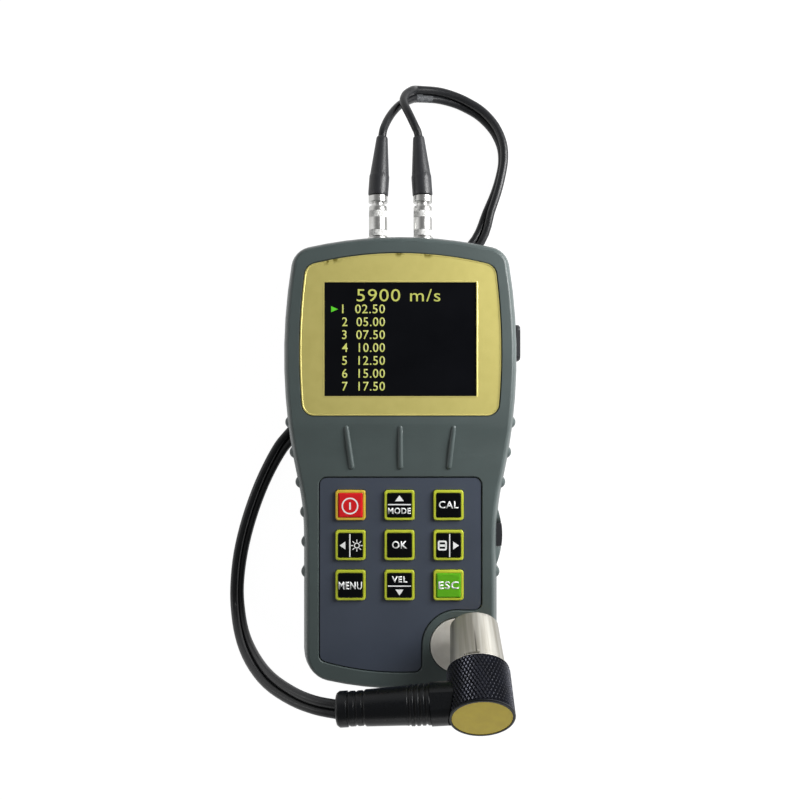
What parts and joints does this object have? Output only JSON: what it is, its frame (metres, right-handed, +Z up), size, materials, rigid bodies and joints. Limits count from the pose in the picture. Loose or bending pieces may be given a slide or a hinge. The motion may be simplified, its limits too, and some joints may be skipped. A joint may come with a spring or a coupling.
{
  "type": "ultrasonic thickness gauge",
  "caption": "Hand-held ultrasonic thickness gauge on its back, with a colour screen, keypad, push-pull plugs, a twin cable and a knurled probe stood on its test disc.",
  "frame": {"origin": "middle of the back, on the plane that the four pads rest on", "axes": "+Z up out of the face, +Y along the housing towards the sockets, +X to the right of the face"},
  "size_m": [0.1008, 0.21, 0.0672],
  "materials": {
    "grey_plastic": "fine texture",
    "gold_panel": "satin",
    "screen_glass": "gloss",
    "inner_metal": "satin",
    "film_plastic": "satin",
    "red_key": "gloss",
    "green_key": "gloss",
    "lime_key": "gloss",
    "steel": "turned",
    "nickel": "gloss",
    "board": "satin",
    "battery_wrap": "satin",
    "black_plastic": "satin",
    "black_rubber": "matt",
    "black_aluminium": "anodised",
    "label_gold": "satin",
    "cork": "plain",
    "delay_plastic": "gloss"
  },
  "bodies": {
    "gauge": {"front_housing": "grey_plastic", "rear_housing": "grey_plastic", "screen_bezel": "gold_panel", "screen_window": "screen_glass", "lcd_module": "inner_metal", "keypad_film": "film_plastic", "key_domes": "steel", "main_board": "board", "board_screws": "steel", "battery_pack": "battery_wrap", "buzzer": "black_plastic", "case_screws": "steel", "test_disc": "steel", "data_port": "steel", "charge_port": "steel", "socket_left": "nickel", "socket_right": "nickel", "plug_core_left": "nickel", "plug_core_right": "nickel", "plug_nut_left": "nickel", "plug_nut_right": "nickel", "plug_boot_left": "black_rubber", "plug_boot_right": "black_rubber", "cable_left": "black_rubber", "cable_right": "black_rubber", "twin_cable": "black_rubber", "probe_nose": "steel", "probe_grip": "black_aluminium", "probe_label": "label_gold", "probe_delay_left": "delay_plastic", "probe_delay_right": "delay_plastic", "probe_barrier": "cork", "probe_gland": "black_plastic", "probe_boot": "black_rubber"},
    "key_power": {"key_power": "red_key"},
    "key_up": {"key_up": "lime_key"},
    "key_cal": {"key_cal": "lime_key"},
    "key_left": {"key_left": "lime_key"},
    "key_ok": {"key_ok": "lime_key"},
    "key_right": {"key_right": "lime_key"},
    "key_menu": {"key_menu": "lime_key"},
    "key_down": {"key_down": "lime_key"},
    "key_back": {"key_back": "green_key"},
    "plug_sleeve_left": {"plug_sleeve_left": "nickel"},
    "plug_sleeve_right": {"plug_sleeve_right": "nickel"},
    "data_port_cover": {"data_port_cover": "black_rubber"},
    "charge_port_plug": {"charge_port_plug": "black_rubber"}
  },
  "joints": [
    {"name": "key_power_press", "type": "slide", "parent": "gauge", "child": "key_power", "axis": [0, 0, -1], "range_m": [0, 0.0005], "stiffness_N_per_m": 4000, "springref_m": -0.0002},
    {"name": "key_up_press", "type": "slide", "parent": "gauge", "child": "key_up", "axis": [0, 0, -1], "range_m": [0, 0.0005], "stiffness_N_per_m": 4000, "springref_m": -0.0002},
    {"name": "key_cal_press", "type": "slide", "parent": "gauge", "child": "key_cal", "axis": [0, 0, -1], "range_m": [0, 0.0005], "stiffness_N_per_m": 4000, "springref_m": -0.0002},
    {"name": "key_left_press", "type": "slide", "parent": "gauge", "child": "key_left", "axis": [0, 0, -1], "range_m": [0, 0.0005], "stiffness_N_per_m": 4000, "springref_m": -0.0002},
    {"name": "key_ok_press", "type": "slide", "parent": "gauge", "child": "key_ok", "axis": [0, 0, -1], "range_m": [0, 0.0005], "stiffness_N_per_m": 4000, "springref_m": -0.0002},
    {"name": "key_right_press", "type": "slide", "parent": "gauge", "child": "key_right", "axis": [0, 0, -1], "range_m": [0, 0.0005], "stiffness_N_per_m": 4000, "springref_m": -0.0002},
    {"name": "key_menu_press", "type": "slide", "parent": "gauge", "child": "key_menu", "axis": [0, 0, -1], "range_m": [0, 0.0005], "stiffness_N_per_m": 4000, "springref_m": -0.0002},
    {"name": "key_down_press", "type": "slide", "parent": "gauge", "child": "key_down", "axis": [0, 0, -1], "range_m": [0, 0.0005], "stiffness_N_per_m": 4000, "springref_m": -0.0002},
    {"name": "key_back_press", "type": "slide", "parent": "gauge", "child": "key_back", "axis": [0, 0, -1], "range_m": [0, 0.0005], "stiffness_N_per_m": 4000, "springref_m": -0.0002},
    {"name": "plug_sleeve_left_pull", "type": "slide", "parent": "gauge", "child": "plug_sleeve_left", "axis": [0, 1, 0], "range_m": [0, 0.0012], "stiffness_N_per_m": 2000, "springref_m": -0.0004},
    {"name": "plug_sleeve_right_pull", "type": "slide", "parent": "gauge", "child": "plug_sleeve_right", "axis": [0, 1, 0], "range_m": [0, 0.0012], "stiffness_N_per_m": 2000, "springref_m": -0.0004},
    {"name": "data_port_cover_pull", "type": "slide", "parent": "gauge", "child": "data_port_cover", "axis": [1, 0, 0], "range_m": [0, 0.006]},
    {"name": "charge_port_plug_pull", "type": "slide", "parent": "gauge", "child": "charge_port_plug", "axis": [1, 0, 0], "range_m": [0, 0.006]}
  ]
}
